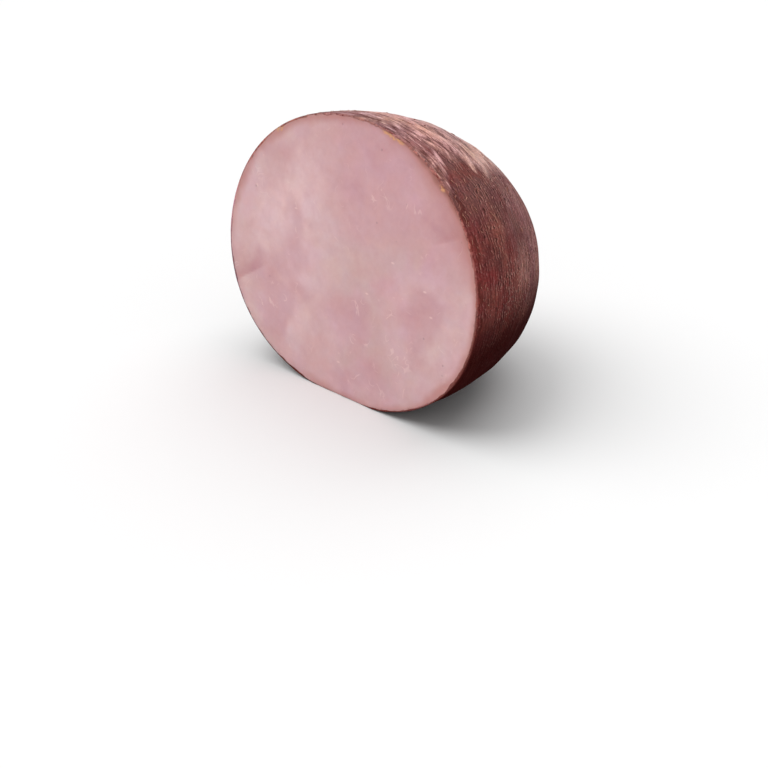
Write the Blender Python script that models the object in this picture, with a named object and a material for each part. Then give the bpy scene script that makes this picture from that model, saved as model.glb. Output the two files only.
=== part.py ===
"""The cut half of a cured ham: a flat oval cut face, and behind it the domed body in its rind.

Metres, +Z up. The cut face looks towards -Y and leans back a little, and the rounded end is towards +Y. The
origin is on the surface that the ham rests on, under the middle of its bounding box.
"""

import math

import bmesh
import bpy
import numpy as np
from mathutils import Matrix

# The cut face: its width and height before the outline below makes it uneven
FACE_WIDTH = 0.2008
FACE_HEIGHT = 0.1750
# The outline as shares of the radius: narrower above, fuller low down, and a little squared
TAPER = 0.0155
SKEW = 0.0048
SQUARENESS = 0.0083

# The body behind the face: 2 makes an ellipsoid's end, and more a blunter one
DEPTH = 0.1250
BLUNTNESS = 2.4
SAG = 0.0111

# How it lies: the face leans back, and the soft meat is pressed flat where it rests
LEAN = math.radians(6.2)
PRESSED = 0.0025
SOFTNESS = 0.0015

# Unevenness of the body, which fades out at the cut
LUMP_HEIGHT = 0.0008
LUMP_WAVES = 9
LUMP_SEED = 5
LUMPS_BEGIN = 0.30

# The gathered middle of the rounded end: folds round a dimple
FOLDS = 13
FOLD_DEPTH = 0.0022
FOLD_RADIUS = 0.020
FOLD_BAND = 0.011
DIMPLE_DEPTH = 0.0045
DIMPLE_RADIUS = 0.009

# The rind's rim at the cut
RIM_ROUNDING = 0.0008
RIM_SEGMENTS = 2

# How finely the body is divided
AROUND = 92
RINGS = 36
SHARP_ANGLE = math.radians(40)

RIND_COLOUR = (0.105, 0.034, 0.027, 1.0)
RIND_ROUGHNESS = 0.42


def clear_objects():
    for obj in list(bpy.data.objects):
        bpy.data.objects.remove(obj, do_unlink=True)


def rind_material():
    material = bpy.data.materials.new("glazed_rind")
    material.use_nodes = True
    shader = material.node_tree.nodes["Principled BSDF"]
    shader.inputs["Base Color"].default_value = RIND_COLOUR
    shader.inputs["Roughness"].default_value = RIND_ROUGHNESS
    shader.inputs["Metallic"].default_value = 0.0
    return material


def unit_dome():
    """Half a sphere of radius 1 with its pole at +Y, closed by a flat face at Y = 0."""
    dome = bmesh.new()
    bmesh.ops.create_uvsphere(dome, u_segments=AROUND, v_segments=2 * RINGS, radius=1.0)
    pole_to_y = Matrix.Rotation(-math.pi / 2, 3, "X")
    bmesh.ops.rotate(dome, verts=dome.verts, cent=(0, 0, 0), matrix=pole_to_y)
    everything = dome.verts[:] + dome.edges[:] + dome.faces[:]
    bmesh.ops.bisect_plane(
        dome, geom=everything, dist=1e-5, plane_co=(0, 0, 0), plane_no=(0, 1, 0), clear_inner=True
    )
    rim = [edge for edge in dome.edges if edge.is_boundary]
    bmesh.ops.holes_fill(dome, edges=rim, sides=0)
    bmesh.ops.recalc_face_normals(dome, faces=dome.faces)
    return dome


def outline(around):
    """The cut face's radius at an angle, as a share of its half width and half height."""
    lobes = TAPER * np.sin(3 * around) + SKEW * np.cos(3 * around)
    return 1 - lobes - SQUARENESS * np.cos(4 * around)


def lumps(directions):
    """A smooth unevenness between about -1 and 1, the sum of a few waves across the dome."""
    draw = np.random.default_rng(LUMP_SEED)
    ways = draw.normal(size=(LUMP_WAVES, 3))
    ways *= draw.uniform(2.5, 6.0, (LUMP_WAVES, 1)) / np.linalg.norm(ways, axis=1, keepdims=True)
    phases = draw.uniform(0, 2 * math.pi, LUMP_WAVES)
    return np.sin(directions @ ways.T + phases).sum(axis=1) / math.sqrt(LUMP_WAVES)


def gather(radius, around):
    """How deep the folds and the dimple sink at a distance from the end's middle."""
    wander = 0.7 * np.sin(2 * around + 0.6) + 0.5 * np.sin(3 * around + 2.1)
    folds = FOLD_DEPTH * (0.5 + 0.5 * np.cos(FOLDS * around + wander))
    ring = np.exp(-(((radius - FOLD_RADIUS) / FOLD_BAND) ** 2))
    dimple = DIMPLE_DEPTH * np.exp(-((radius / DIMPLE_RADIUS) ** 2))
    return folds * ring + dimple


def body(directions):
    """Points of the unit dome moved out to the ham, with the face upright at Y = 0."""
    x, along, z = directions.T
    around = np.arctan2(z, x)
    width = np.clip(1 - along**2, 0, 1) ** (1 / BLUNTNESS)
    radius = width * outline(around)
    points = np.stack(
        [
            FACE_WIDTH / 2 * radius * np.cos(around),
            DEPTH * along,
            FACE_HEIGHT / 2 * radius * np.sin(around) - SAG * along**2,
        ],
        axis=1,
    )
    raised = LUMP_HEIGHT * lumps(directions) * (1 - np.exp(-((along / LUMPS_BEGIN) ** 2)))
    behind = np.where(along > 0.5, 1.0, 0.0)
    sunk = gather(width * FACE_WIDTH / 2, around) * behind
    return points + (raised - sunk)[:, None] * directions


def lean_back(points):
    x, y, z = points.T
    back = y * math.cos(LEAN) + z * math.sin(LEAN)
    up = z * math.cos(LEAN) - y * math.sin(LEAN)
    return np.stack([x, back, up], axis=1)


def settle(points, foot):
    """Puts the ham down on Z = 0 and presses it flat there. The cut face stays in its plane."""
    up = points[:, 2] - foot - PRESSED
    eased = (up + SOFTNESS) ** 2 / (4 * SOFTNESS)
    flat = np.where(up > SOFTNESS, up, np.where(up < -SOFTNESS, 0.0, eased))
    settled = points.copy()
    settled[:, 1] += (flat - up) * math.tan(LEAN)
    settled[:, 2] = flat
    return settled


def over_origin(points):
    middle = (points.min(axis=0) + points.max(axis=0)) / 2
    return points - np.array([middle[0], middle[1], 0.0])


def ham():
    dome = unit_dome()
    directions = np.array([vertex.co for vertex in dome.verts])
    directions /= np.linalg.norm(directions, axis=1, keepdims=True)
    points = lean_back(body(directions))
    on_face = np.abs(directions[:, 1]) < 1e-4
    points = over_origin(settle(points, points[on_face, 2].min()))
    for vertex, point in zip(dome.verts, points):
        vertex.co = point

    cut_face = max(dome.faces, key=lambda face: len(face.verts))
    rim = list(cut_face.edges)
    bmesh.ops.bevel(
        dome, geom=rim, offset=RIM_ROUNDING, segments=RIM_SEGMENTS, profile=0.5, affect="EDGES"
    )

    mesh = bpy.data.meshes.new("ham")
    dome.to_mesh(mesh)
    dome.free()
    mesh.shade_smooth()
    mesh.set_sharp_from_angle(angle=SHARP_ANGLE)
    mesh.materials.append(rind_material())
    return bpy.data.objects.new("ham", mesh)


def main():
    clear_objects()
    collection = bpy.data.collections.new("cut_ham")
    bpy.context.scene.collection.children.link(collection)
    collection.objects.link(ham())


main()
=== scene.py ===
# %% [markdown]
# # The cut half of a glazed ham
#
# This lesson dresses a plain solid as food. The real thing is one boneless ham that was cured, pressed
# into a knitted net, smoked and glazed, and then cut across with a long knife. Two surfaces show: the
# pale, moist cut face, and the dark rind with the imprint of the net. Each one becomes a mesh that is
# worked out with numpy, and a material made of nodes.

# %% Load the frame
import math

import bpy
import numpy as np
from mathutils import Euler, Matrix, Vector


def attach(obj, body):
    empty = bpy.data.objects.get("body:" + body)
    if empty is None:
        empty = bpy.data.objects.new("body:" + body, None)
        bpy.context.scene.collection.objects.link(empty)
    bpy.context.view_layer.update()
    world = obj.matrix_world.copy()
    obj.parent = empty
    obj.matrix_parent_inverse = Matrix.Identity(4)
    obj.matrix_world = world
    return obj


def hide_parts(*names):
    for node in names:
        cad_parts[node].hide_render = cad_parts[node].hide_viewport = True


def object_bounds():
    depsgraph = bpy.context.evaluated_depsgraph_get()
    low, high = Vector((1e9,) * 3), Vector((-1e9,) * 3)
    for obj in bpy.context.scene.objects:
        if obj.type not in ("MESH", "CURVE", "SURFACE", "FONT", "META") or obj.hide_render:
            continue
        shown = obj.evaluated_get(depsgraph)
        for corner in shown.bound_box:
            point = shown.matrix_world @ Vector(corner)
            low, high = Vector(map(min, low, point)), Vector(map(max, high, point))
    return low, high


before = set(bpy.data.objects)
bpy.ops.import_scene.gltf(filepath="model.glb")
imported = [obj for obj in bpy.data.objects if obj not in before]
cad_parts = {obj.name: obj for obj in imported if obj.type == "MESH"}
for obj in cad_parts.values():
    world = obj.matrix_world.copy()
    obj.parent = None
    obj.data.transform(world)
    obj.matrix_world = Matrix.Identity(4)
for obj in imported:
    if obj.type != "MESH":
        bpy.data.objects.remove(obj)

cad_low, cad_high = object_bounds()
print("the solid's box in mm:", [round(1000 * v) for v in (*cad_low, *cad_high)])

# %% [markdown]
# ## The form that both surfaces share
#
# The solid already has the ham's true form, but its facets are 4 to 7 mm wide. A subdivided copy would be
# smooth, but it wouldn't know which way the net runs. So the form is written here again as a formula with
# two parameters: the angle around the ham's axis, and the dome's angle from the cut to the rounded end.
# Every finer detail can then be laid along those two ways.

# %% The form's sizes, in metres
FACE_WIDTH, FACE_HEIGHT = 0.2008, 0.1750
TAPER, SKEW, SQUARENESS = 0.0155, 0.0048, 0.0083
DEPTH, BLUNTNESS, SAG = 0.1250, 2.4, 0.0111
LEAN = math.radians(6.2)
PRESSED, SOFTNESS = 0.0025, 0.0015
LUMP_HEIGHT, LUMP_WAVES, LUMP_SEED, LUMPS_BEGIN = 0.0008, 9, 5, 0.30
FOLDS, FOLD_DEPTH, FOLD_RADIUS, FOLD_BAND = 13, 0.0022, 0.020, 0.011
DIMPLE_DEPTH, DIMPLE_RADIUS = 0.0045, 0.009
QUARTER = math.pi / 2


def outline(around):
    """The cut's radius as a share of its half axes: 1 less a threefold and a fourfold wave."""
    lobes = TAPER * np.sin(3 * around) + SKEW * np.cos(3 * around)
    return 1 - lobes - SQUARENESS * np.cos(4 * around)


def waves(directions, count, seed, slowest, fastest):
    """A smooth unevenness of about -1 to 1: the mean of sines across the dome, in drawn directions."""
    draw = np.random.default_rng(seed)
    ways = draw.normal(size=(count, 3))
    ways *= draw.uniform(slowest, fastest, (count, 1)) / np.linalg.norm(ways, axis=1, keepdims=True)
    phases = draw.uniform(0, 2 * math.pi, count)
    return np.sin(directions @ ways.T + phases).sum(axis=-1) / math.sqrt(count)


def directions_of(around, rise):
    """Unit vectors of the dome. rise is 0 at the cut and a quarter turn at the rounded end."""
    flat = np.cos(rise)
    return np.stack([flat * np.cos(around), np.sin(rise) + 0 * around, flat * np.sin(around)], -1)


def gather(radius, around):
    """Depth of the folds and the dimple: a ring of cosines, and a bell at the middle."""
    wander = 0.7 * np.sin(2 * around + 0.6) + 0.5 * np.sin(3 * around + 2.1)
    folds = FOLD_DEPTH * (0.5 + 0.5 * np.cos(FOLDS * around + wander))
    ring = np.exp(-(((radius - FOLD_RADIUS) / FOLD_BAND) ** 2))
    return folds * ring + DIMPLE_DEPTH * np.exp(-((radius / DIMPLE_RADIUS) ** 2))


def body(around, rise, raised=0.0):
    """The ham with its face upright at Y = 0: an oval whose size falls off along a superellipse,
    moved out along the dome's directions by the lumps and by raised, and in by the gather."""
    ways = directions_of(around, rise)
    along = ways[..., 1]
    width = np.clip(1 - along**2, 0, 1) ** (1 / BLUNTNESS)
    radius = width * outline(around)
    across = FACE_WIDTH / 2 * radius * np.cos(around)
    upward = FACE_HEIGHT / 2 * radius * np.sin(around) - SAG * along**2
    points = np.stack([across, DEPTH * along, upward], -1)
    swell = LUMP_HEIGHT * waves(ways, LUMP_WAVES, LUMP_SEED, 2.5, 6.0)
    swell = swell * (1 - np.exp(-((along / LUMPS_BEGIN) ** 2)))
    sunk = gather(width * FACE_WIDTH / 2, around) * (along > 0.5)
    return points + (swell - sunk + raised)[..., None] * ways


def lean_back(points):
    """Turns the points about X by the lean, so that the face looks a little upwards."""
    x, y, z = np.moveaxis(points, -1, 0)
    back = y * math.cos(LEAN) + z * math.sin(LEAN)
    return np.stack([x, back, z * math.cos(LEAN) - y * math.sin(LEAN)], -1)


# %% [markdown]
# ## How it lies
#
# Soft meat flattens where it bears on the board. A hard cut at Z = 0 would leave a crease, so the height
# is eased with a parabola between the free part and the flat part. The cut face has to stay in its
# plane, so points slide along it as they are pressed up.

# %% Lay the form on the board
WHOLE_TURN = np.linspace(0, 2 * math.pi, 721)[:-1]
FOOT = lean_back(body(WHOLE_TURN, np.zeros_like(WHOLE_TURN)))[:, 2].min()


def settle(points):
    """Height becomes 0 where it was under -SOFTNESS, itself over SOFTNESS, and a parabola between."""
    up = points[..., 2] - FOOT - PRESSED
    eased = (up + SOFTNESS) ** 2 / (4 * SOFTNESS)
    flat = np.where(up > SOFTNESS, up, np.where(up < -SOFTNESS, 0.0, eased))
    slid = points[..., 1] + (flat - up) * math.tan(LEAN)
    return np.stack([points[..., 0], slid, flat], -1)


sample = settle(lean_back(body(*np.meshgrid(WHOLE_TURN, np.linspace(0, QUARTER, 181)))))
MIDDLE = (sample.min(axis=(0, 1)) + sample.max(axis=(0, 1))) / 2 * [1, 1, 0]
MIDDLE = MIDDLE - (np.array(cad_low) + np.array(cad_high)) / 2 * [1, 1, 0]


def place(points):
    """Leans, settles and centres points of the upright form."""
    return settle(lean_back(points)) - MIDDLE


print("moved to the solid's middle by mm:", np.round(-1000 * MIDDLE, 2))

# %% [markdown]
# ## Rows from the cut to the rounded end
#
# The net is finer than 3 mm, so the rows of the mesh are only 0.6 mm apart where it shows most, and
# wider over the rounded end. Even steps of the dome's angle would crowd the rows at the end, so
# the arc is measured first and the angles are read back from it.

# %% Space the rows by measured arc
ROW_STEP, END_STEP = 0.0006, 0.0011
FINE_UNTIL = 0.112
COLUMNS = 380

fine_rise = np.linspace(0, QUARTER, 1501)
traced = body(*np.meshgrid(WHOLE_TURN[::20], fine_rise))
fine_arc = np.concatenate([[0], np.cumsum(np.linalg.norm(np.diff(traced, axis=0), axis=-1).mean(axis=1))])
girth = np.linalg.norm(np.diff(traced, axis=1, append=traced[:, :1]), axis=-1).sum(axis=1)
end_rows = np.arange(FINE_UNTIL, fine_arc[-1] - END_STEP / 2, END_STEP)
ARC = np.concatenate([np.arange(0, FINE_UNTIL, ROW_STEP), end_rows])

turn_line = np.linspace(0, 2 * math.pi, COLUMNS + 1)[:-1]
TURN, RISE = np.meshgrid(turn_line, np.interp(ARC, fine_arc, fine_rise))
WAYS = directions_of(TURN, RISE)
print("arc from the cut to the end, mm:", round(1000 * fine_arc[-1]), "in", len(ARC), "rows")

# %% [markdown]
# ## The net's courses and the long wrinkles
#
# A stockinette net is rows of knitted loops. On the ham the rows run round it, parallel to the cut, and
# each loop leaves a bead of meat between two threads. A noise texture could break up the colour, but it has
# no rows. Here every point knows how many courses it is from the cut and how many stitches around it is.
#
# On the upper side the rind also wrinkled into long ridges where the net was drawn tight over the fat. They
# run with the courses, but no two have the same width or length, they merge at shallow angles, and they
# get wider away from the cut. A noise that is stretched along the rows has just that look: numbers drawn
# on a lattice with long cells. The same field lifts the mesh, and later colours the ridges pink and the
# grooves dark.

# %% Count courses and stitches
COURSE = 0.0025
STITCHES = 240
CUT_CALM = 0.012

calm = (1 - np.exp(-ARC / CUT_CALM))[:, None]
COURSES = ARC[:, None] / COURSE + 0.8 * waves(WAYS, 12, 21, 3, 9) * calm
print("courses of", round(1000 * COURSE, 1), "mm from the cut to the end:", round(fine_arc[-1] / COURSE))

# %% Rows of drawn numbers
def smooth(t):
    """The cubic 3t^2 - 2t^3, which eases from 0 to 1."""
    return t * t * (3 - 2 * t)


def share_of(value, start, end):
    """How far a value is on the way from start to end, kept between 0 and 1."""
    return np.clip((value - start) / (end - start), 0, 1)


def drawn_rows(around, rows, cells, seed):
    """Numbers from -1 to 1 drawn on a lattice of rows and cells, blended between its points by the easing
    cubic. Each row is turned by a drawn amount, so that no two change at the same angles."""
    draw = np.random.default_rng(seed)
    count = int(rows.max()) + 2
    values = draw.uniform(-1, 1, (count, cells))
    turned = draw.uniform(0, cells, count)
    blended = np.zeros_like(rows)
    for step in (0, 1):
        row = rows.astype(int) + step
        spot = around / (2 * math.pi) * cells + turned[row]
        cell = spot.astype(int)
        ease = smooth(spot - cell)
        value = values[row, cell % cells] * (1 - ease) + values[row, (cell + 1) % cells] * ease
        blended += value * smooth(1 - np.abs(rows - row))
    return blended


# %% Wide bands and narrow knots
BAND_PITCH, KNOT_PITCH = 0.0028, 0.0015
BAND_CELLS, KNOT_CELLS = 38, 76
BANDS_FROM, BANDS_FULL, BANDS_LEAST = 0.004, 0.026, 0.1
WANDER, SLANT, SLANT_PITCH, SLANT_CELLS = 0.0012, 0.0022, 0.016, 26
ROWS_START, WIDER_PER_METRE = 0.02, 2.2

arc_rows = ARC[:, None]
slanted = SLANT * drawn_rows(TURN, arc_rows / SLANT_PITCH + 0 * TURN, SLANT_CELLS, 81)
wrinkle_arc = arc_rows + ROWS_START + slanted + WANDER * waves(WAYS, 16, 71, 8, 34)
wrinkle_arc -= WIDER_PER_METRE * arc_rows**2
bands = drawn_rows(TURN, wrinkle_arc / BAND_PITCH, BAND_CELLS, 17)
knots = drawn_rows(TURN, wrinkle_arc / KNOT_PITCH, KNOT_CELLS, 18)
banded = np.maximum(share_of(arc_rows, BANDS_FROM, BANDS_FULL), BANDS_LEAST)
print("rows of bands and of knots:", [round(wrinkle_arc.max() / pitch) for pitch in (BAND_PITCH, KNOT_PITCH)])

# %% [markdown]
# ## The crown
#
# The wrinkles don't go all the way round. They lie on the crown, a pale patch over the top, where the glaze
# was rubbed off as the net came away. It is narrow at the cut, widens on the way back, and fades before
# the rounded end. Such a patch could be painted by hand, but a formula is easier to change: the
# crown is where the sine of the angle around the ham is over a line. The bands and knots move that line,
# so the patch ends in the points of single wrinkles and not along a curve.

# %% The crown's mask
CROWN_SINE = 0.900
CROWN_WIDENS, WIDE_ARC, WIDENS_POWER, WIDEST = 0.115, 0.040, 1.6, 0.155
LIP_WIDENS, LIP_ARC = 0.19, 0.009
SIDE_UNEVEN, SIDE_BANDS, SIDE_KNOTS = 0.030, 0.035, 0.045
EASE_NEAR, EASE_FAR, EASE_LEFT = 0.09, 0.16, 0.22
CROWN_ENDS, CROWN_GONE = 0.068, 0.116
END_UNEVEN, END_BANDS = 0.008, 0.003


def crown_mask():
    """1 where the sine of the angle is well over a line, eased to 0 below it. The line falls with the
    arc, and once more in the strip at the lip. Another easing over the arc takes the crown away."""
    uneven = waves(WAYS, 14, 63, 6, 24)
    widened = np.minimum(CROWN_WIDENS * (arc_rows / WIDE_ARC) ** WIDENS_POWER, WIDEST)
    widened = widened + LIP_WIDENS * np.exp(-((arc_rows / LIP_ARC) ** 2))
    ragged = SIDE_UNEVEN * uneven + SIDE_BANDS * bands + SIDE_KNOTS * knots
    eased_over = EASE_NEAR + EASE_FAR * share_of(arc_rows, 0.03, 0.08)
    eased_over = eased_over + EASE_LEFT * share_of(-np.cos(TURN), 0, 0.3)
    on_top = smooth(share_of(np.sin(TURN) + widened + ragged, CROWN_SINE, CROWN_SINE + eased_over))
    end_arc = arc_rows + END_UNEVEN * uneven + END_BANDS * bands
    return on_top * (1 - smooth(share_of(end_arc, CROWN_ENDS, CROWN_GONE)))


# %% The wrinkles' field
WRINKLES_FADE, WRINKLES_GONE = 0.064, 0.104
LIP_PLAIN = 0.004
KNOTS_SHARE = 0.85
TOP_SINE, TOP_FULL, TOP_CALM = 0.93, 0.98, 0.4

CROWN = crown_mask()
fading = (1 - share_of(arc_rows, WRINKLES_FADE, WRINKLES_GONE)) * share_of(arc_rows, 0, LIP_PLAIN)
calmed = 1 - TOP_CALM * smooth(share_of(np.sin(TURN), TOP_SINE, TOP_FULL)) * banded
WRINKLES = np.clip(bands * banded + KNOTS_SHARE * knots, -1, 1) * CROWN * fading * calmed
share_up, share_down = (WRINKLES > 0.3).mean(), (WRINKLES < -0.3).mean()
print("ridges on", round(100 * share_up), "% and grooves on", round(100 * share_down), "% of the rind")

# %% [markdown]
# ## The rind
#
# Smoke and glaze turn the outside into a skin about a millimetre thick. It is a closed shell: the outer
# wall with its relief, a rounded lip at the cut that stands a hair above the meat, and a plain inner wall.
# One grid makes all of it. The rows run from the outer pole over the lip to the inner pole. The lip is
# uneven, because the knife dragged at it. Solidify could make the second wall, but not the lip.

# %% Helpers for closed grids
def ring_grid(rows, columns):
    """Quads between rows whose last column joins the first, and each corner's row and open column."""
    i, j = np.meshgrid(np.arange(rows - 1), np.arange(columns), indexing="ij")
    corner_rows = np.stack([i, i, i + 1, i + 1], -1).reshape(-1, 4)
    corner_columns = np.stack([j, j + 1, j + 1, j], -1).reshape(-1, 4)
    return corner_rows * columns + corner_columns % columns, corner_rows, corner_columns


def fan(ring_start, columns, pole, flip):
    """Triangles from a ring of points to one pole point. flip turns them over."""
    ring = np.arange(columns)
    first, second = ring_start + ring, ring_start + np.roll(ring, -1)
    if flip:
        first, second = second, first
    return np.stack([first, second, np.full(columns, pole)], -1)


def make_piece(name, points, faces, uv=None, uv_name="", marks=None):
    """A mesh object at the origin with smooth faces, one UV map and named values on its points."""
    mesh = bpy.data.meshes.new(name)
    mesh.from_pydata(points, [], faces)
    if uv is not None:
        layer = mesh.uv_layers.new(name=uv_name)
        layer.data.foreach_set("uv", np.asarray(uv, np.float32).ravel())
    for mark, values in (marks or {}).items():
        attribute = mesh.attributes.new(mark, "FLOAT", "POINT")
        attribute.data.foreach_set("value", np.asarray(values, np.float32).ravel())
    mesh.shade_smooth()
    mesh.validate()
    piece = bpy.data.objects.new(name, mesh)
    bpy.context.scene.collection.objects.link(piece)
    triangles = sum(len(face) - 2 for face in faces)
    print(name, len(mesh.vertices), "points,", triangles, "triangles")
    return piece


# %% The rind's outer wall
SKIN = 0.0008
BEAD_RELIEF = 0.00012
WRINKLE_RELIEF = 0.00030
SLOW_RELIEF = 0.00022
CUT_PLAIN, END_PLAIN = 0.005, 0.030

strength = np.clip(0.55 + 0.5 * waves(WAYS, 10, 33, 4, 10), 0.1, 1)
near_cut = 1 - np.exp(-((arc_rows / CUT_PLAIN) ** 2))
near_end = np.clip((fine_arc[-1] - arc_rows) / END_PLAIN, 0, 1)
beads = BEAD_RELIEF * np.cos(2 * math.pi * COURSES) * strength * near_end
dented = SLOW_RELIEF * waves(WAYS, 24, 52, 12, 40)
relief = (beads + dented) * near_cut + WRINKLE_RELIEF * WRINKLES
outer = body(TURN, RISE, relief)
print("the rind's relief, mm:", np.round(1000 * np.array([relief.min(), relief.max()]), 2))

# %% The rind's lip and inner wall
LIP = 0.0003
LIP_RAISED = 0.0001
LIP_DRAGGED = 0.00015
TUCKED = 0.0010
INNER_ROWS = 7
INNER_DEPTH = SKIN * 1.6

bend = np.linspace(0, QUARTER, 4)
lip_in = np.concatenate([LIP * (1 - np.cos(bend)), [SKIN - LIP / 2, SKIN]])
lip_forward = np.concatenate([LIP * (np.sin(bend) - 1), [0, -LIP]]) + LIP_RAISED
ragged = waves(WAYS[:1], 16, 8, 20, 140)
uneven_skin = np.maximum(1.1 + 0.40 * waves(WAYS[:1], 14, 9, 8, 40) + 0.35 * ragged, 0.7)
lip = np.repeat(outer[:1], len(lip_in), axis=0)
lip = lip - (lip_in[:, None] * uneven_skin)[..., None] * WAYS[:1]
lip[..., 1] -= lip_forward[:, None] + LIP_DRAGGED * ragged

inner_turn, inner_rise = np.meshgrid(turn_line, np.linspace(0.0, QUARTER, INNER_ROWS + 1)[:-1])
inner = body(inner_turn, inner_rise, -INNER_DEPTH)
inner[0, :, 1] += TUCKED
print("the lip is", np.round(1000 * SKIN * np.array([uneven_skin.min(), uneven_skin.max()]), 1), "mm wide")

# %% The rind's mesh
pole_out = body(np.zeros(1), np.full(1, QUARTER))
pole_in = body(np.zeros(1), np.full(1, QUARTER), np.full(1, -INNER_DEPTH))
shell = np.concatenate([outer[::-1], lip, inner])
points = place(np.concatenate([shell.reshape(-1, 3), pole_out, pole_in]))

quads, corner_rows, corner_columns = ring_grid(len(shell), COLUMNS)
outer_fan = fan(0, COLUMNS, len(points) - 2, True)
inner_fan = fan((len(shell) - 1) * COLUMNS, COLUMNS, len(points) - 1, False)

plain_rows = len(lip_in) + len(inner)
course_rows = np.concatenate([COURSES[::-1], np.repeat(COURSES[:1], plain_rows, axis=0)])
corner_courses = course_rows[corner_rows, corner_columns % COLUMNS]
quad_uv = np.stack([corner_columns * STITCHES / COLUMNS, corner_courses], -1)
steps = np.arange(COLUMNS) * STITCHES / COLUMNS
fan_u = np.stack([steps + STITCHES / COLUMNS, steps, steps + STITCHES / COLUMNS / 2], -1)
fan_uv = np.stack([fan_u, np.full((COLUMNS, 3), COURSES.max() + 1)], -1)
uv = np.concatenate([quad_uv.reshape(-1, 2), fan_uv.reshape(-1, 2), np.zeros((3 * COLUMNS, 2))])

no_marks = np.zeros(plain_rows * COLUMNS + 2)
from_cut = np.concatenate([np.repeat(1000 * ARC[::-1], COLUMNS), no_marks])
rind = make_piece(
    "rind",
    points,
    [*quads.tolist(), *outer_fan.tolist(), *inner_fan.tolist()],
    uv,
    "net",
    {
        "wrinkle": np.concatenate([WRINKLES[::-1].ravel(), no_marks]),
        "crown": np.concatenate([CROWN[::-1].ravel(), no_marks]),
        "from_cut": from_cut,
    },
)

# %% [markdown]
# ## The meat
#
# The knife leaves the face flat, but not like glass: the muscles rise and sink by tenths of a millimetre.
# A polar grid follows the oval, so that its outer ring can run just under the rind's lip, and so that the
# distance from the rim is known for the browning there. Behind the face the meat is closed by a plain
# dome inside the rind.
#
# Two seams between muscles reach the rim, one on each side. Above each seam the meat is darker, and the
# colour stops short at the seam. They are measured as a distance from a line, and kept on the points.

# %% The meat's solid
FACE_RINGS, FACE_COLUMNS = 160, 400
UNDER_LIP = 0.00035

share = np.linspace(0, 1, FACE_RINGS + 1)[1:] ** 0.8
face_turn = np.linspace(0, 2 * math.pi, FACE_COLUMNS + 1)[:-1]
rim = body(face_turn, np.zeros_like(face_turn), np.full(FACE_COLUMNS, UNDER_LIP - SKIN))
face = share[::-1, None, None] * rim[None]
flat_ways = face / FACE_WIDTH * 2
rim_distance = (1 - share[::-1, None]) * np.linalg.norm(rim, axis=-1)[None]
print("the face's radius, mm:", np.round(1000 * np.linalg.norm(rim, axis=-1).min()), "or more")


# %% Seams, and bits of fat at the rim
SEAM_LEFT = ((-0.0930, -0.0375), (-0.0640, -0.0175))
SEAM_RIGHT = ((0.0670, 0.0316), (0.0900, 0.0432))
SEAM_REACH = 0.012
FAT_BITS = ((math.radians(73.5), 0.0100), (math.radians(47.6), 0.0030), (math.radians(128), 0.0040))
FAT_THICK = 0.0025


def seam(x, z, line, reach):
    """1 just above a line, falling off upwards over reach, and 0 below it and past its inner end."""
    (x0, z0), (x1, z1) = line
    length = math.hypot(x1 - x0, z1 - z0)
    along = ((x - x0) * (x1 - x0) + (z - z0) * (z1 - z0)) / length**2
    above = ((z - z0) * (x1 - x0) - (x - x0) * (z1 - z0)) / length
    edge = np.clip(0.5 + above / 0.0012, 0, 1)
    inside = np.clip(1.15 - 2.6 * np.abs(along - 0.42) ** 1.6, 0, 1)
    return edge * inside * np.exp(-((np.clip(above, 0, None) / reach) ** 1.5))


def fat(around, distance):
    """Bits of fat between rind and meat: bells along the rim, cut off at an uneven depth."""
    total = np.zeros(np.broadcast(around, distance).shape)
    for angle, half_length in FAT_BITS:
        apart = (around - angle + math.pi) % (2 * math.pi) - math.pi
        along = apart * FACE_WIDTH / 2 / half_length
        depth = FAT_THICK * np.exp(-(along**4)) * (1 + 0.25 * np.sin(9 * along + angle))
        total += np.clip((depth - distance) / 0.0009, 0, 1) * np.exp(-(along**4))
    return np.clip(total, 0, 1)


# %% The cut face's relief
FACE_RELIEF = 0.00014
FAT_SUNK, SEAM_RAISED = 0.0002, 0.00025

x, z = face[..., 0], face[..., 2]
seams = seam(x, z, SEAM_LEFT, SEAM_REACH) + seam(x, z, SEAM_RIGHT, SEAM_REACH)
fat_bits = fat(face_turn[None], rim_distance)
relief = waves(flat_ways, 16, 44, 4, 22) * (1 - share[::-1, None] ** 12)
face[..., 1] = FACE_RELIEF * relief - FAT_SUNK * fat_bits + SEAM_RAISED * seams
print("the face's relief, mm:", np.round(1000 * np.array([face[..., 1].min(), face[..., 1].max()]), 2))

# %% The meat's closed mesh
BACK_ROWS = 10
BACK_DEPTH = SKIN * 2.2

back_turn, back_rise = np.meshgrid(face_turn, np.linspace(0.03, QUARTER, BACK_ROWS + 1)[:-1])
back = body(back_turn, back_rise, -BACK_DEPTH)
meat_rows = np.concatenate([back[::-1], face])
centre = np.array([[0.0, face[-1, :, 1].mean(), 0.0]])
back_pole = body(np.zeros(1), np.full(1, QUARTER), np.full(1, -BACK_DEPTH))
meat_points = place(np.concatenate([meat_rows.reshape(-1, 3), centre, back_pole]))

meat_quads, _, _ = ring_grid(len(meat_rows), FACE_COLUMNS)
centre_fan = fan((len(meat_rows) - 1) * FACE_COLUMNS, FACE_COLUMNS, len(meat_points) - 2, False)
pole_fan = fan(0, FACE_COLUMNS, len(meat_points) - 1, True)


def face_marks(values, at_centre):
    """Values for the meat's points: none on the back, the face's own, and one each for the poles."""
    return np.concatenate([np.zeros(back.shape[0] * FACE_COLUMNS), values.ravel(), [at_centre, 0.0]])


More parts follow.
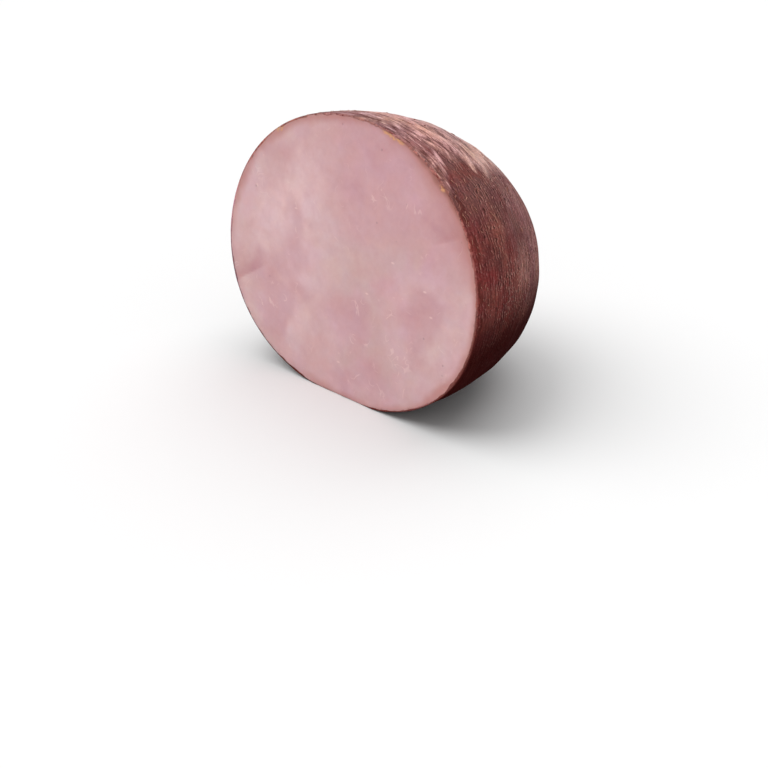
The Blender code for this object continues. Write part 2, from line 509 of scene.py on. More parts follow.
meat = make_piece(
    "meat",
    meat_points,
    [*meat_quads.tolist(), *centre_fan.tolist(), *pole_fan.tolist()],
    marks={
        "from_rim": face_marks(1000 * rim_distance, 80.0),
        "seam": face_marks(seams, 0.0),
        "fat": face_marks(fat_bits, 0.0),
    },
)

# %% [markdown]
# ## Flakes on the rind
#
# The net pulls off small threads of glaze and skin, which dry as pale curls on the dark rind. Most of them
# are near the cut, and some lie together low on the right. A particle system could scatter copies of one
# curl, but no two are alike. So each one is a thin sliver of its own: a bent line with a diamond section
# that thins to both ends. All of them are computed at once as one array, flake by station by corner, and
# joined as one mesh.

# %% The flakes' sizes and places
FLAKES, TOGETHER = 250, 45
STATIONS = 7
FLAKE_LENGTHS, TOGETHER_LONGER = (0.0010, 0.0034), 1.35
FLAKE_HALF_WIDTH, FLAKE_HEIGHT, FLAKE_LIFTED = 0.00026, 0.00024, 0.00012
FLAKE_THICKNESSES, FLAKE_TIP = (0.5, 1.2), 0.02
FLAKE_TURNS = (math.radians(2), math.radians(215))
TOGETHER_TURN, TOGETHER_SPREAD = 0.52, 0.24
FLAKES_FROM, FLAKE_ARCS, TOGETHER_ARCS, CROWDING = 0.003, 0.085, 0.030, 1.6
HEADING, TOGETHER_ASKEW, CURL = 0.50, 1.5, 0.09


# %% Slivers laid on the rind
def surface(around, arc, raised):
    """Points of the plain body at an angle and an arc from the cut, raised along the dome."""
    return body(around, np.interp(arc, fine_arc, fine_rise), raised)


def flakes_mesh(seed):
    """Middle lines that run round the ham and bend as parabolas, with four corners at each station."""
    draw = np.random.default_rng(seed)
    together = np.arange(FLAKES)[:, None] < TOGETHER
    turn = draw.uniform(*FLAKE_TURNS, (FLAKES, 1))
    turn = np.where(together, draw.normal(TOGETHER_TURN, TOGETHER_SPREAD, (FLAKES, 1)), turn)
    arc = FLAKES_FROM + np.where(together, TOGETHER_ARCS, FLAKE_ARCS) * draw.random((FLAKES, 1)) ** CROWDING
    length = draw.uniform(*FLAKE_LENGTHS, (FLAKES, 1)) * np.where(together, TOGETHER_LONGER, 1.0)
    heading = draw.normal(0, HEADING, (FLAKES, 1)) * np.where(together, TOGETHER_ASKEW, 1.0)
    curl = draw.normal(0, CURL, (FLAKES, 1)) * length
    t = np.linspace(-1, 1, STATIONS)[None]
    around = t * length / 2 * np.cos(heading) - curl * t**2 * np.sin(heading)
    onward = t * length / 2 * np.sin(heading) + curl * t**2 * np.cos(heading)
    per_metre = 2 * math.pi / np.interp(arc, fine_arc, girth)
    thin = np.sqrt(np.clip(1 - t**2, 0, 1)) * draw.uniform(*FLAKE_THICKNESSES, (FLAKES, 1)) + FLAKE_TIP
    side = np.array([1.0, 0.0, -1.0, 0.0])
    rise = np.array([0.0, 1.0, 0.0, -1.0])
    half = (FLAKE_HALF_WIDTH * thin)[..., None] * side
    sideways = around[..., None] - half * np.sin(heading)[..., None]
    turns = turn[..., None] + sideways * per_metre[..., None]
    arcs = arc[..., None] + onward[..., None] + half * np.cos(heading)[..., None]
    raised = FLAKE_HEIGHT * thin[..., None] * rise + FLAKE_LIFTED
    return surface(turns, arcs, raised)


flake_points = flakes_mesh(29)
across = np.arange(4)
station = np.arange(STATIONS - 1)[:, None]
one = np.stack([station * 4 + across, station * 4 + (across + 1) % 4], -1)
one = np.concatenate([one, one[..., ::-1] + 4], -1).reshape(-1, 4)
tips = np.array([[3, 2, 1, 0], [4 * STATIONS - 4, 4 * STATIONS - 3, 4 * STATIONS - 2, 4 * STATIONS - 1]])
flake_faces = np.concatenate([one, tips])[None] + (np.arange(FLAKES) * 4 * STATIONS)[:, None, None]
flakes = make_piece("flakes", place(flake_points.reshape(-1, 3)), flake_faces.reshape(-1, 4).tolist())

# %% The pieces stand for the solid
for piece in (rind, meat, flakes):
    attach(piece, "root")
    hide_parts("ham")
    print(piece.name, "rides on the root and stands for the ham")

# %% [markdown]
# ## Small helpers for materials
#
# Materials are easier to read when each one is a list of named steps. The methods of Nodes add a node or
# two to a tree, set the inputs and give back the output, so that a pattern reads like a formula.

# %% Node helpers
def seen(red, green, blue):
    """A colour as it is seen on a screen, 0 to 255, made linear for the shader."""
    shares = np.array([red, green, blue]) / 255
    linear = np.where(shares <= 0.04045, shares / 12.92, ((shares + 0.055) / 1.055) ** 2.4)
    return (*linear.tolist(), 1.0)


class Nodes:
    """A node tree that is being built, and spot, the place where its textures are read."""

    def __init__(self, tree, spot=None):
        self.tree, self.spot = tree, spot

    def feed(self, sockets, *values):
        """Links each socket to its value, or sets the socket's own number."""
        for socket, value in zip(sockets, values):
            if isinstance(value, bpy.types.NodeSocket):
                self.tree.links.new(value, socket)
            else:
                socket.default_value = value

    def add(self, kind, *values):
        """One node of a kind, with its first inputs fed."""
        node = self.tree.nodes.new("ShaderNode" + kind)
        self.feed(node.inputs, *values)
        return node

    def calc(self, operation, a, b=0.0, c=0.0):
        """One Math node."""
        node = self.add("Math", a, b, c)
        node.operation = operation
        return node.outputs[0]

    def times(self, *values):
        """The product of several values, as a chain of Math nodes."""
        product = values[0]
        for value in values[1:]:
            product = self.calc("MULTIPLY", product, value)
        return product

    def about(self, value, size):
        """A value around 0.5 turned into one around 0, from -size to size."""
        return self.calc("MULTIPLY_ADD", value, 2 * size, -size)

    def between(self, value, low, high, to_low=0.0, to_high=1.0):
        """A smooth step: to_low at low and to_high at high, eased between, and level beyond."""
        node = self.add("MapRange", value, low, high, to_low, to_high)
        node.interpolation_type = "SMOOTHSTEP"
        return node.outputs["Result"]

    def blend(self, amount, first, second, mode="MIX"):
        """One colour Mix node."""
        node = self.add("Mix", amount)
        node.data_type = "RGBA"
        node.blend_type = mode
        self.feed(node.inputs[6:8], first, second)
        return node.outputs[2]

    def noise(self, scale, detail=2.0, roughness=0.5, distortion=0.0, at=None):
        """One Noise node's value, about 0.5 on average."""
        node = self.add("TexNoise", at or self.spot)
        names = ("Scale", "Detail", "Roughness", "Distortion")
        self.feed([node.inputs[name] for name in names], scale, detail, roughness, distortion)
        return node.outputs["Fac"]

    def vector_of(self, x, y, z=0.0):
        """A vector from three values."""
        return self.add("CombineXYZ", x, y, z).outputs[0]

    def parts_of(self, vector):
        """A vector's three values."""
        return self.add("SeparateXYZ", vector).outputs


# %% [markdown]
# ## Three effects that the materials share
#
# Neither the rind nor the meat has one colour. Smoke, fat and muscle leave soft patches, both have small
# specks, pale or dark, and the tone drifts a little everywhere, as it does in all meat. Each effect is a
# node group with its own sizes, so it is built once and placed with other numbers each time.

# %% Groups for patches, specks and drift
def new_group(name, inputs):
    """An empty node group with a Vector, named numbers with start values, and an Amount. Gives back its
    Nodes, what goes in, and what comes out."""
    group = bpy.data.node_groups.new(name, "ShaderNodeTree")
    group.interface.new_socket("Vector", in_out="INPUT", socket_type="NodeSocketVector")
    for socket_name, start in inputs.items():
        socket = group.interface.new_socket(socket_name, in_out="INPUT", socket_type="NodeSocketFloat")
        socket.default_value = start
    group.interface.new_socket("Amount", in_out="OUTPUT", socket_type="NodeSocketFloat")
    inside = group.nodes.new("NodeGroupInput").outputs
    out = group.nodes.new("NodeGroupOutput").inputs
    return Nodes(group, inside["Vector"]), inside, out


def patches_group():
    """Noise between two thresholds: 0 outside a patch, 1 inside."""
    inputs = {"Per Metre": 40.0, "Detail": 2.0, "Low": 0.4, "High": 0.6}
    group, inside, out = new_group("patches", inputs)
    value = group.noise(inside["Per Metre"], inside["Detail"], 0.5, 0.3)
    group.feed(out, group.between(value, inside["Low"], inside["High"]))
    return group.tree


def specks_group():
    """A dot in some of the cells of a Voronoi pattern: Share of the cells have one of radius Size."""
    group, inside, out = new_group("specks", {"Per Metre": 200.0, "Size": 0.25, "Share": 0.1})
    cells = group.add("TexVoronoi", group.spot)
    group.feed([cells.inputs["Scale"]], inside["Per Metre"])
    chosen = group.calc("LESS_THAN", group.parts_of(cells.outputs["Color"])[0], inside["Share"])
    core = group.calc("MULTIPLY", inside["Size"], 0.4)
    dot = group.between(cells.outputs["Distance"], inside["Size"], core)
    group.feed(out, group.calc("MULTIPLY", dot, chosen))
    return group.tree


def drift_group():
    """Noise as a signed amount: -1 at its low end, 1 at its high end, and 0 on average."""
    group, inside, out = new_group("drift", {"Per Metre": 60.0, "Detail": 3.0})
    value = group.noise(inside["Per Metre"], inside["Detail"], 0.6, 0.2)
    group.feed(out, group.between(value, 0.3, 0.7, -1.0, 1.0))
    return group.tree


GROUPS = {"patches": patches_group(), "specks": specks_group(), "drift": drift_group()}
print("groups:", {name: len(group.nodes) for name, group in GROUPS.items()})


# %% A material that is painted step by step
class Painted(Nodes):
    """A material, the place on it with its side and height, and the colour painted so far."""

    def __init__(self, name):
        self.material = bpy.data.materials.new(name)
        self.material.use_nodes = True
        super().__init__(self.material.node_tree)
        self.spot = self.add("TexCoord").outputs["Object"]
        self.side, _, self.height = self.parts_of(self.spot)
        self.colour = None

    def set(self, name, value):
        """Links one of the shader's inputs or sets its number."""
        self.feed([self.tree.nodes["Principled BSDF"].inputs[name]], value)

    def mark(self, name):
        """A value that the mesh keeps on its points."""
        node = self.add("Attribute")
        node.attribute_name = name
        return node.outputs["Fac"]

    def use(self, name, *numbers):
        """Places a group with its vector and its numbers in order, and gives back its amount."""
        node = self.add("Group")
        node.node_tree = GROUPS[name]
        self.feed(node.inputs, *numbers)
        return node.outputs["Amount"]

    def patches(self, per_metre, low=0.4, high=0.6, detail=2.0):
        """The patches group: 1 inside a patch and 0 outside."""
        return self.use("patches", self.spot, per_metre, detail, low, high)

    def specks(self, per_metre, size, share, at=None):
        """The specks group: 1 on a speck and 0 beside it."""
        return self.use("specks", at or self.spot, per_metre, size, share)

    def drift(self, per_metre, detail, at=None):
        """The drift group: from -1 to 1."""
        return self.use("drift", at or self.spot, per_metre, detail)

    def paint(self, paint, *amounts):
        """Blends a paint over the colour by the product of the amounts."""
        self.colour = self.blend(self.times(*amounts), self.colour, paint)

    def scale(self, red, green, blue):
        """Multiplies each channel of the colour by its factor."""
        self.colour = self.blend(1.0, self.colour, self.vector_of(red, green, blue), "MULTIPLY")

    def tint(self, amount, *shares):
        """Multiplies each channel by 1 plus its share of a signed amount."""
        self.scale(*[self.calc("MULTIPLY_ADD", amount, share, 1.0) for share in shares])

    def finish(self, relief, distance, strength):
        """Links the colour, and a Bump node that raises the relief by a distance in metres."""
        self.set("Base Color", self.colour)
        bump = self.add("Bump")
        names = ("Strength", "Distance", "Height")
        self.feed([bump.inputs[name] for name in names], strength, distance, relief)
        self.set("Normal", bump.outputs["Normal"])
        print(self.material.name, "has", len(self.tree.nodes), "nodes")
        return self.material


# %% [markdown]
# ## The rind's finish
#
# The rind is mahogany brown where smoke and sugar darkened it, redder next to the cut, and dusky on the
# shoulder. Grey patches and a paler grey towards the rounded end are a painted sheen, and the near black
# underneath is painted shade. On the crown it is bare, and pink to tan. The net leaves broken dark dashes
# between its courses and small pale nicks on them. The nicks and the pale edge beside each dash are painted
# glints as well, and the beads are painted lighter, partly as a painted sheen. So colour and bump read the
# same two counts, courses and stitches, and the mesh's own values say where the crown, the wrinkles and
# the cut are.
#
# One list of two hundred nodes would be hard to follow. So the colour is built as a painter would, from the
# ground up: each function below lays one thing over the colour so far.

# %% The net's pattern
def net_pattern(mat):
    """Masks from the counts: beads of the net, dashes in its grooves, the edge beside each dash where a glint
    is painted, and nicks, which get painted glints too. Then noises that are drawn out along the courses:
    wide streaks, narrow knots, and strands."""
    counts = mat.add("UVMap")
    counts.uv_map = "net"
    stitches, courses, _ = mat.parts_of(counts.outputs["UV"])
    row = mat.calc("ADD", courses, mat.about(mat.noise(230, 3), 1.0))
    ridge = mat.calc("MULTIPLY_ADD", mat.calc("COSINE", mat.times(row, 2 * math.pi)), 0.5, 0.5)
    stagger = mat.times(mat.calc("MODULO", mat.calc("ROUND", row), 2.0), 0.5)
    shaken = mat.calc("ADD", stagger, mat.about(mat.noise(240, 2), 0.9))
    loop = mat.calc("ADD", stitches, shaken)
    bead = mat.calc("MULTIPLY_ADD", mat.calc("COSINE", mat.times(loop, 2 * math.pi)), 0.5, 0.5)
    mat.beads = mat.times(ridge, mat.calc("MULTIPLY_ADD", bead, 0.6, 0.4))

    groove_row = mat.times(mat.calc("FLOOR", row), 3.7)
    along_groove = mat.vector_of(mat.times(stitches, 0.8), groove_row)
    broken = mat.between(mat.noise(1.0, 2, 0.6, at=along_groove), 0.45, 0.58)
    mat.dashes = mat.times(mat.between(ridge, 0.42, 0.06), broken)
    beside = mat.calc("COSINE", mat.calc("MULTIPLY_ADD", row, 2 * math.pi, 0.3 * math.pi))
    # the pale edge beside each dash, where a glint is painted
    mat.edges = mat.times(mat.between(beside, 0.3, 0.95), broken)

    nick_place = mat.vector_of(mat.times(loop, 0.9), mat.times(row, 1.4))
    chance = mat.between(mat.from_cut, 15, 60, 0.10, 0.30)
    mat.nicks = mat.specks(1.0, 0.34, chance, at=nick_place)

    def drawn_out(per_stitch, per_course, detail, roughness):
        """A noise whose cells are long round the ham and narrow across the courses."""
        place_in_net = mat.vector_of(mat.times(stitches, per_stitch), mat.times(courses, per_course))
        return mat.noise(1.0, detail, roughness, at=place_in_net)

    mat.streaks = drawn_out(0.07, 0.62, 3, 0.55)
    mat.knots = drawn_out(0.30, 2.2, 3, 0.7)
    mat.strands = drawn_out(0.09, 0.72, 2, 0.6)


# %% The smoked skin
RIND_RED = seen(121, 51, 48)
RIND_BROWN = seen(124, 66, 60)
# painted sheen: a grey laid in patches over the rind away from the cut
PAINTED_GREY_SHEEN = seen(142, 96, 92)
RIND_DARK = seen(88, 42, 40)
# pale streaks, and the beads' lighter tops, which are partly a painted sheen
RIND_RIDGE_AND_SHEEN = seen(160, 102, 96)
# painted sheen: a paler grey towards the rounded end
PAINTED_FAR_SHEEN = seen(147, 100, 99)
RIND_STRAND = seen(186, 138, 136)
RIND_DUSKY = seen(108, 72, 70)


def smoked_skin(mat):
    """Red and brown patches with dark and pale streaks. Grey patches and, with the distance from the cut, a
    paler grey are a painted sheen, and strands come further on. High up, dusky patches lie over it."""
    mat.colour = mat.blend(mat.patches(30, 0.38, 0.60, 3), RIND_RED, RIND_BROWN)
    mat.paint(RIND_DARK, mat.between(mat.streaks, 0.46, 0.66, 0.0, 0.85))
    mat.paint(RIND_RIDGE_AND_SHEEN, mat.between(mat.streaks, 0.46, 0.28, 0.0, 0.40))
    mat.paint(RIND_DARK, mat.patches(70, 0.46, 0.66, 3), 0.8)
    # painted sheen: grey patches from 10 mm behind the cut on
    mat.paint(PAINTED_GREY_SHEEN, mat.patches(24, 0.44, 0.62, 3), mat.between(mat.from_cut, 10, 40, 0.0, 0.34))
    # painted sheen: paler grey from 36 mm behind the cut to the rounded end
    mat.paint(PAINTED_FAR_SHEEN, mat.between(mat.from_cut, 36, 78, 0.0, 0.75))
    mat.paint(RIND_RED, mat.between(mat.uneven_cut, 2.0, 12.0, 0.8, 0.0))
    far = mat.between(mat.from_cut, 32, 58)
    mat.paint(RIND_STRAND, mat.between(mat.strands, 0.50, 0.66), far, 0.6)
    mat.paint(RIND_DARK, mat.between(mat.strands, 0.50, 0.34), far, 0.6)
    mat.paint(RIND_DUSKY, mat.between(mat.height, 0.116, 0.140), mat.patches(42, 0.36, 0.52, 3), 0.85)


# %% The bare crown
RIND_CROWN = seen(198, 148, 140)


def bare_crown(mat):
    """The crown's own colour, weaker near the cut, with dusky patches left there."""
    mat.paint(RIND_CROWN, mat.crown, mat.between(mat.uneven_cut, 8.0, 28.0, 0.45, 1.0))
    mat.paint(RIND_DUSKY, mat.patches(52, 0.50, 0.62, 3), mat.between(mat.from_cut, 30, 14), 0.5, mat.crown)


# %% The net's imprint
RIND_GROOVE = seen(50, 20, 18)
# a pale colour for the nicks, and painted glints on them and beside the dashes
RIND_NICK_AND_GLINT = seen(206, 156, 144)


def imprinted(mat):
    """Beads painted lighter, partly as a painted sheen, dark dashes, the edge beside each dash and the nicks
    painted pale as glints, all in patches, weaker near the cut and all but the nicks on the crown.
    """
    printed = mat.calc("MULTIPLY_ADD", mat.patches(40, 0.38, 0.60, 3), 0.7, 0.3)
    imprint = mat.times(printed, mat.between(mat.from_cut, 3, 32, 0.45, 1.0))
    off_crown = mat.calc("MULTIPLY_ADD", mat.crown, -0.55, 1.0)
    # the beads' paint is partly a painted sheen, and the edge's paint is painted glints
    prints = ((mat.beads, 0.60, RIND_RIDGE_AND_SHEEN), (mat.dashes, 0.9, RIND_GROOVE), (mat.edges, 0.52, RIND_NICK_AND_GLINT))
    for mask, amount, paint in prints:
        mat.paint(paint, mask, imprint, off_crown, amount)
    # painted glints on the nicks
    mat.paint(RIND_NICK_AND_GLINT, mat.nicks, imprint, 0.70)


# %% The wrinkles' ridges and grooves
WRINKLE_PINK = seen(224, 178, 171)
WRINKLE_TAN = seen(226, 178, 148)
WRINKLE_DEEP = seen(82, 42, 40)


def wrinkled(mat):
    """The mesh's wrinkles plus the narrow knots of the net: pink or tan where high, dark where low."""
    tan = mat.blend(mat.times(mat.patches(46, 0.53, 0.66), 0.6), WRINKLE_PINK, WRINKLE_TAN)
    knotted = mat.times(mat.about(mat.knots, 2.7), mat.crown, mat.between(mat.from_cut, 3, 22, 0.68, 1.0))
    raised = mat.calc("ADD", mat.times(mat.wrinkle, 0.72), knotted)
    mat.paint(tan, mat.between(raised, 0.10, 0.74, 0.0, 0.90))
    mat.paint(WRINKLE_DEEP, mat.between(raised, -0.08, -0.72, 0.0, 0.88))


# %% The rind's edge at the cut
RIND_DARK_LINE = seen(92, 40, 34)
RIND_LIP = seen(146, 60, 56)
RIND_EDGE = seen(196, 134, 124)
FLESHY_LIP = seen(216, 162, 168)


def cut_edge(mat):
    """A broken dark line about 5 mm from the cut, chips on the lip, flayed skin that shows pale high up, and
    a fleshy lip low on both sides."""
    off_line = mat.calc("ABSOLUTE", mat.calc("MULTIPLY_ADD", mat.uneven_cut, 0.3, -1.4))
    # a broken dark line about 5 mm from the cut
    mat.paint(RIND_DARK_LINE, mat.between(off_line, 0.9, 0.2), mat.patches(60, 0.40, 0.52), 0.8)
    mat.paint(RIND_LIP, mat.between(mat.from_cut, 1.6, 0.3, 0.0, 0.8), mat.patches(90, 0.52, 0.60))
    ragged = mat.calc("ADD", mat.from_cut, mat.about(mat.noise(420, 3, 0.6), 3.2))
    flayed = mat.times(mat.between(ragged, 1.2, -0.4, 0.0, 0.95), mat.patches(55, 0.24, 0.44, 3))
    mat.paint(RIND_EDGE, flayed, mat.between(mat.height, 0.090, 0.130, 0.25, 1.0))
    fleshy = mat.times(mat.between(mat.from_cut, 1.2, 0.2), mat.between(mat.height, 0.135, 0.095))
    mat.paint(FLESHY_LIP, fleshy, mat.between(mat.side, -0.050, -0.085), 0.85)
    mat.paint(RIND_EDGE, fleshy, mat.between(mat.side, 0.060, 0.090), 0.45)


# %% Slow changes of tone, fine grain, a painted sheen on top, and painted shade underneath
# painted shade: the near black of the rind and the flakes low down
PAINTED_UNDERSIDE_SHADE = seen(46, 12, 12)


def toned(mat):
    """Redder towards the cut at the right, greyer at the very top as a painted sheen, a drift between warm
    and cool, a fine grain that darkens and lightens, and a painted shade below."""
    redder = mat.times(mat.between(mat.from_cut, 52, 0), mat.between(mat.height, 0.150, 0.120, 0.55, 1.0))
    redder = mat.times(redder, mat.between(mat.side, -0.03, 0.04, 0.4, 1.0))
    redder = mat.times(redder, mat.between(mat.height, 0.070, 0.105, 0.4, 1.0))
    mat.tint(redder, 0.20, -0.02, 0.0)
    mat.tint(mat.drift(60, 4), 0.04, 0.0, -0.09)
    # painted sheen: greyer at the very top
    mat.tint(mat.between(mat.height, 0.162, 0.169), -0.10, -0.01, 0.03)
    shade = mat.between(mat.grain, 0.28, 0.72, 0.80, 1.18)
    mat.scale(shade, shade, shade)
    below = mat.calc("ADD", mat.height, mat.about(mat.noise(30, 2), 0.012))
    # painted shade: darker below a height of about 93 mm, near black under about 48 mm
    mat.paint(PAINTED_UNDERSIDE_SHADE, mat.between(below, 0.093, 0.048), mat.between(mat.from_cut, 0, 3, 0.5, 0.94))


# %% The rind's material
def rind_material():
    """The painted colour, a glaze that is glossier high up and on the back of the crown, and the net's
    fine relief as bump."""
    mat = Painted("glazed_rind")
    mat.wrinkle, mat.crown, mat.from_cut = (mat.mark(name) for name in ("wrinkle", "crown", "from_cut"))
    mat.uneven_cut = mat.calc("ADD", mat.from_cut, mat.about(mat.noise(110, 3), 9.0))
    mat.grain = mat.noise(1050, 2, 0.6)
    for step in (net_pattern, smoked_skin, bare_crown, imprinted, wrinkled, cut_edge, toned):
        step(mat)

    mat.set("Roughness", mat.between(mat.noise(260, 3), 0.3, 0.7, 0.36, 0.64))
    high_up = mat.between(mat.height, 0.050, 0.150, 0.0, 0.31)
    glazed = mat.times(high_up, mat.patches(60, 0.3, 0.6))
    glazed = mat.calc("ADD", glazed, mat.times(mat.crown, mat.between(mat.from_cut, 22, 58, 0.0, 0.60)))
    mat.set("Coat Weight", glazed)
    mat.set("Coat Roughness", 0.36)
    mat.set("Specular IOR Level", 0.0)

    relief = mat.calc("SUBTRACT", mat.times(mat.beads, 0.6), mat.times(mat.dashes, 0.5))
    relief = mat.calc("ADD", relief, mat.times(mat.nicks, 0.35))
    relief = mat.calc("ADD", relief, mat.times(mat.grain, 0.55))
    return mat.finish(relief, 0.0005, 0.9)


rind.data.materials.append(rind_material())

# %% [markdown]
# ## The cut face's finish
#
# Cured pork is pink all through, because salt keeps its colour. From a step away it is almost even. Close
# up it is a patchwork of muscles with soft edges, short pale fibres that bend, small grey pores and pale
# specks, and it browns over the last few millimetres before the rind. Strong patches would look like
# camouflage, so each step here moves the colour by a few levels only. Light goes a little way into the
# meat, which softens everything, so a little subsurface scattering is used.

# %% The muscles' colours
MEAT_PINK = seen(221, 177, 179)
MEAT_GREY = seen(216, 178, 177)
MEAT_UPPER = seen(216, 164, 168)
MEAT_LILAC = seen(221, 171, 183)
MEAT_PALE = seen(236, 198, 199)
MEAT_ROSE = seen(209, 157, 163)
MEAT_SEAM = seen(196, 138, 142)


def muscles(mat):
    """Pink and grey patches, deeper high up, lilac in places, lighter at the left as painted light and pale
    low at the right, with rose patches of two sizes over them, and darker above a seam."""
    mat.colour = mat.blend(mat.patches(22, 0.36, 0.64), MEAT_PINK, MEAT_GREY)
    mat.paint(MEAT_UPPER, mat.between(mat.height, 0.080, 0.130), mat.between(mat.side, -0.060, 0.010), 0.85)
    mat.paint(MEAT_LILAC, mat.patches(33, 0.42, 0.66), 0.6)
    paler_and_lit_left = mat.calc("MULTIPLY_ADD", mat.patches(19, 0.3, 0.7), 0.45, 0.55)
    paler_and_lit_left = mat.times(paler_and_lit_left, mat.between(mat.from_rim, 8, 34, 0.25, 1.0))
    # pale patches, and a lighter left side that is painted light
    mat.paint(MEAT_PALE, paler_and_lit_left, mat.between(mat.side, 0.012, -0.055))
    mat.paint(MEAT_PALE, mat.between(mat.side, 0.030, 0.070), mat.between(mat.height, 0.110, 0.070), 0.4)
    mat.paint(MEAT_ROSE, mat.patches(28, 0.47, 0.68), 0.70)
    mat.paint(MEAT_ROSE, mat.patches(75, 0.46, 0.72, 3), 0.28)
    mat.paint(MEAT_SEAM, mat.mark("seam"), 0.75)


# %% Drifts of tone in the meat
WARM_AND_COOL = (64, 4, 0.012, 0.0, -0.028)
COARSE, FINE = (52, 4, 0.020, 0.045, 0.045), (170, 3, 0.016, 0.034, 0.030)
FINEST = (430, 2, 0.007, 0.015, 0.014)
ELSEWHERE = (0.31, 0.17, 0.23)


def drifting(mat):
    """Light and dark drifts of three sizes, and one between warm and cool. That one reads its noise
    somewhere else, or it would follow the first."""
    moved = mat.add("VectorMath", mat.spot, ELSEWHERE).outputs[0]
    for numbers in (COARSE, FINE, WARM_AND_COOL, FINEST):
        per_metre, detail, *shares = numbers
        at = moved if numbers is WARM_AND_COOL else mat.spot
        mat.tint(mat.drift(per_metre, detail, at), *shares)


# %% Fibres, flecks and pores
MEAT_FIBRE = seen(242, 208, 204)
MEAT_PORE = seen(178, 134, 138)


def hairlines(mat, per_metre, width, grouped):
    """Short curved lines: where a noise crosses 0.5, kept only inside small patches."""
    wavy = mat.noise(per_metre, 1, 0.5, 0.8)
    off = mat.calc("ABSOLUTE", mat.calc("SUBTRACT", wavy, 0.5))
    return mat.times(mat.between(off, width, width * 0.3), grouped)


def fibrous(mat):
    """Pale bent fibres in small groups, fainter high up, pale flecks that lean, and dark pores. Gives back
    the fibres and pores, for the bump."""
    grouped = mat.times(mat.patches(120, 0.55, 0.66, 1), mat.patches(34, 0.38, 0.54))
    fibres = hairlines(mat, 110, 0.026, grouped)
    mat.paint(MEAT_FIBRE, fibres, mat.between(mat.height, 0.152, 0.122, 0.20, 0.50))
    leaning = mat.add("Mapping", mat.spot)
    leaning.inputs["Rotation"].default_value = (0.0, math.radians(35), 0.0)
    leaning.inputs["Scale"].default_value = (0.6, 1.0, 1.2)
    mat.paint(MEAT_FIBRE, mat.specks(160, 0.17, 0.12, at=leaning.outputs[0]), 0.65)
    pores = mat.specks(190, 0.18, 0.05)
    mat.paint(MEAT_PORE, pores, 0.50)
    return fibres, pores


# %% The browned rim and its fat
MEAT_BROWNED = seen(198, 134, 127)
MEAT_SEARED = seen(158, 92, 80)
MEAT_EDGE = seen(140, 66, 60)
FAT_COLOUR = seen(226, 164, 116)


def browned(mat):
    """Browning over the last millimetres, wider and seared high at the right and faint low at the left.
    Crumbly fat lies on it, and a thin dark edge ends it."""
    ragged_rim = mat.calc("ADD", mat.from_rim, mat.about(mat.noise(40, 3), 5.5))
    right = mat.between(mat.side, 0.010, 0.050)
    low_left = mat.times(mat.between(mat.height, 0.110, 0.070), mat.between(mat.side, 0.0, -0.05), -0.75)
    mat.paint(MEAT_BROWNED, mat.between(ragged_rim, 6.5, 0.3, 0.0, 0.8), mat.calc("ADD", low_left, 1.0))
    high_right = mat.times(right, mat.between(mat.height, 0.085, 0.115))
    mat.paint(MEAT_BROWNED, mat.between(ragged_rim, 15, 2), high_right, 0.62)
    seared = mat.between(ragged_rim, 3.4, 0.2)
    mat.paint(MEAT_SEARED, seared, right, mat.between(mat.height, 0.112, 0.136), 0.75)
    mat.paint(FAT_COLOUR, mat.mark("fat"), mat.patches(420, 0.34, 0.46, 2))
    thin = mat.calc("ADD", mat.from_rim, mat.about(mat.noise(320, 3), 1.6))
    mat.paint(MEAT_EDGE, mat.between(thin, 0.9, -0.1), mat.between(mat.side, -0.08, 0.05, 0.1, 0.65))


# %% The meat's material
def meat_material():
    """The painted colour, a damp surface with soft light below it, and fine bump with pressed-in pores."""
    mat = Painted("cured_meat")
    mat.from_rim = mat.mark("from_rim")
    muscles(mat)
    drifting(mat)
    fibres, pores = fibrous(mat)
    browned(mat)

    mat.set("Roughness", mat.between(mat.noise(80, 3), 0.3, 0.7, 0.34, 0.54))
    mat.set("Specular IOR Level", 0.45)
    mat.set("Subsurface Weight", 0.35)
    mat.set("Subsurface Radius", (1.0, 0.45, 0.35))
    mat.set("Subsurface Scale", 0.003)

    relief = mat.calc("MULTIPLY_ADD", fibres, 0.35, mat.times(mat.noise(650, 3, 0.6), 0.45))
    relief = mat.calc("SUBTRACT", relief, mat.times(pores, 0.9))
    return mat.finish(relief, 0.0003, 0.6)


meat.data.materials.append(meat_material())

# %% [markdown]
# ## The flakes' finish
#
# A dried thread of glaze is pink to brown, and painted as dark as the rind's painted shade where it lies
# low down. The patches group tells the two colours apart, and fine grain keeps each sliver from looking like
# plastic.

# %% The flakes' material
FLAKE_PINK = seen(204, 140, 120)
FLAKE_BROWN = seen(158, 90, 74)


def flake_material():
    """Pink and brown patches with grain, darker low down as painted shade, as on the rind, and a fine rough
    surface.
    """
    mat = Painted("dried_flakes")
    mat.colour = mat.blend(mat.patches(130, 0.40, 0.60), FLAKE_PINK, FLAKE_BROWN)
    mat.paint(RIND_DARK, mat.noise(1500, 2), 0.35)
    # painted shade: darker low down, as on the rind
    mat.paint(PAINTED_UNDERSIDE_SHADE, mat.between(mat.height, 0.100, 0.040, 0.0, 0.92))
    mat.set("Roughness", mat.between(mat.noise(900, 2), 0.3, 0.7, 0.35, 0.6))
    mat.set("Specular IOR Level", 0.4)
    return mat.finish(mat.noise(2400, 2), 0.0001, 0.6)


flakes.data.materials.append(flake_material())

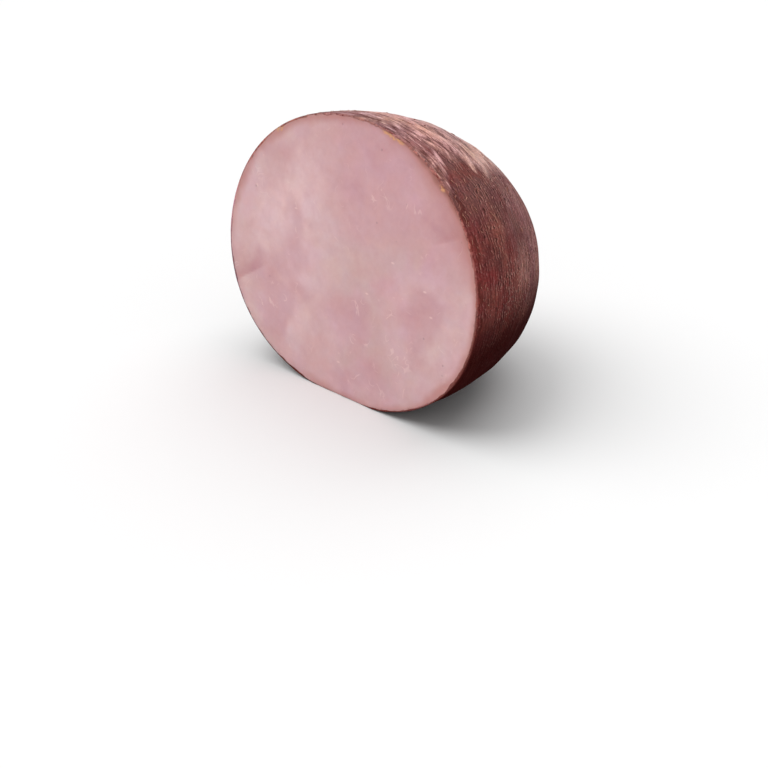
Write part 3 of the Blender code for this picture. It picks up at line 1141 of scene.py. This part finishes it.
# %% [markdown]
# ## Floor, light and camera
#
# The light is a white studio: soft from every side, and brighter from above. Two suns with wide discs
# light the floor evenly however far it reaches, which area lamps can't. One stands to the left of the
# face, so the rind's right side turns away from it and stays dark, and the other behind, for the sheen on
# top.

# %% The stage
FLOOR_SIZE = 12.0
FLOOR_BELOW = 0.0002

bpy.ops.mesh.primitive_plane_add(size=FLOOR_SIZE, location=(0, 0, -FLOOR_BELOW))
floor = bpy.context.object
floor.name = "floor"
pale = Painted("pale_floor")
pale.set("Base Color", (0.86, 0.86, 0.86, 1))
pale.set("Roughness", 0.7)
pale.set("Specular IOR Level", 0.2)
floor.data.materials.append(pale.material)

world = bpy.data.worlds.new("studio")
bpy.context.scene.world = world
world.use_nodes = True
world.node_tree.nodes["Background"].inputs["Color"].default_value = (1, 1, 1, 1)
world.node_tree.nodes["Background"].inputs["Strength"].default_value = 0.42
bpy.context.scene.view_settings.view_transform = "Standard"


def sun(name, azimuth, elevation, strength, disc):
    """A sun that shines from azimuth (0 is from -Y, 90 from +X) and elevation, with a disc in degrees."""
    lamp = bpy.data.lights.new(name, "SUN")
    lamp.energy = strength
    lamp.angle = math.radians(disc)
    holder = bpy.data.objects.new(name, lamp)
    holder.rotation_euler = Euler((math.radians(90 - elevation), 0, math.radians(azimuth)))
    bpy.context.scene.collection.objects.link(holder)
    return holder


for lamp in (sun("key", -55, 58, 1.5, 50), sun("rim", 195, 60, 1.3, 60)):
    print(lamp.name, "sun of strength", round(lamp.data.energy, 2))

# %% The camera
AZIMUTH, ELEVATION = math.radians(42.94), math.radians(28)
CAMERA_AT = np.array([0.6361, -0.6520, 0.4876]) - MIDDLE
SENSOR = 36
FRAME_PIXELS, FOCAL_PIXELS = 768, 1700

camera = bpy.data.objects.new("camera", bpy.data.cameras.new("camera"))
bpy.context.scene.collection.objects.link(camera)
camera.data.lens = SENSOR * FOCAL_PIXELS / FRAME_PIXELS
camera.data.sensor_width = SENSOR
camera.location = CAMERA_AT
camera.rotation_euler = Euler((math.pi / 2 - ELEVATION, 0, AZIMUTH))
camera.data.clip_start, camera.data.clip_end = 0.01, 30
bpy.context.scene.camera = camera
print("the camera's lens, mm:", round(camera.data.lens, 1))
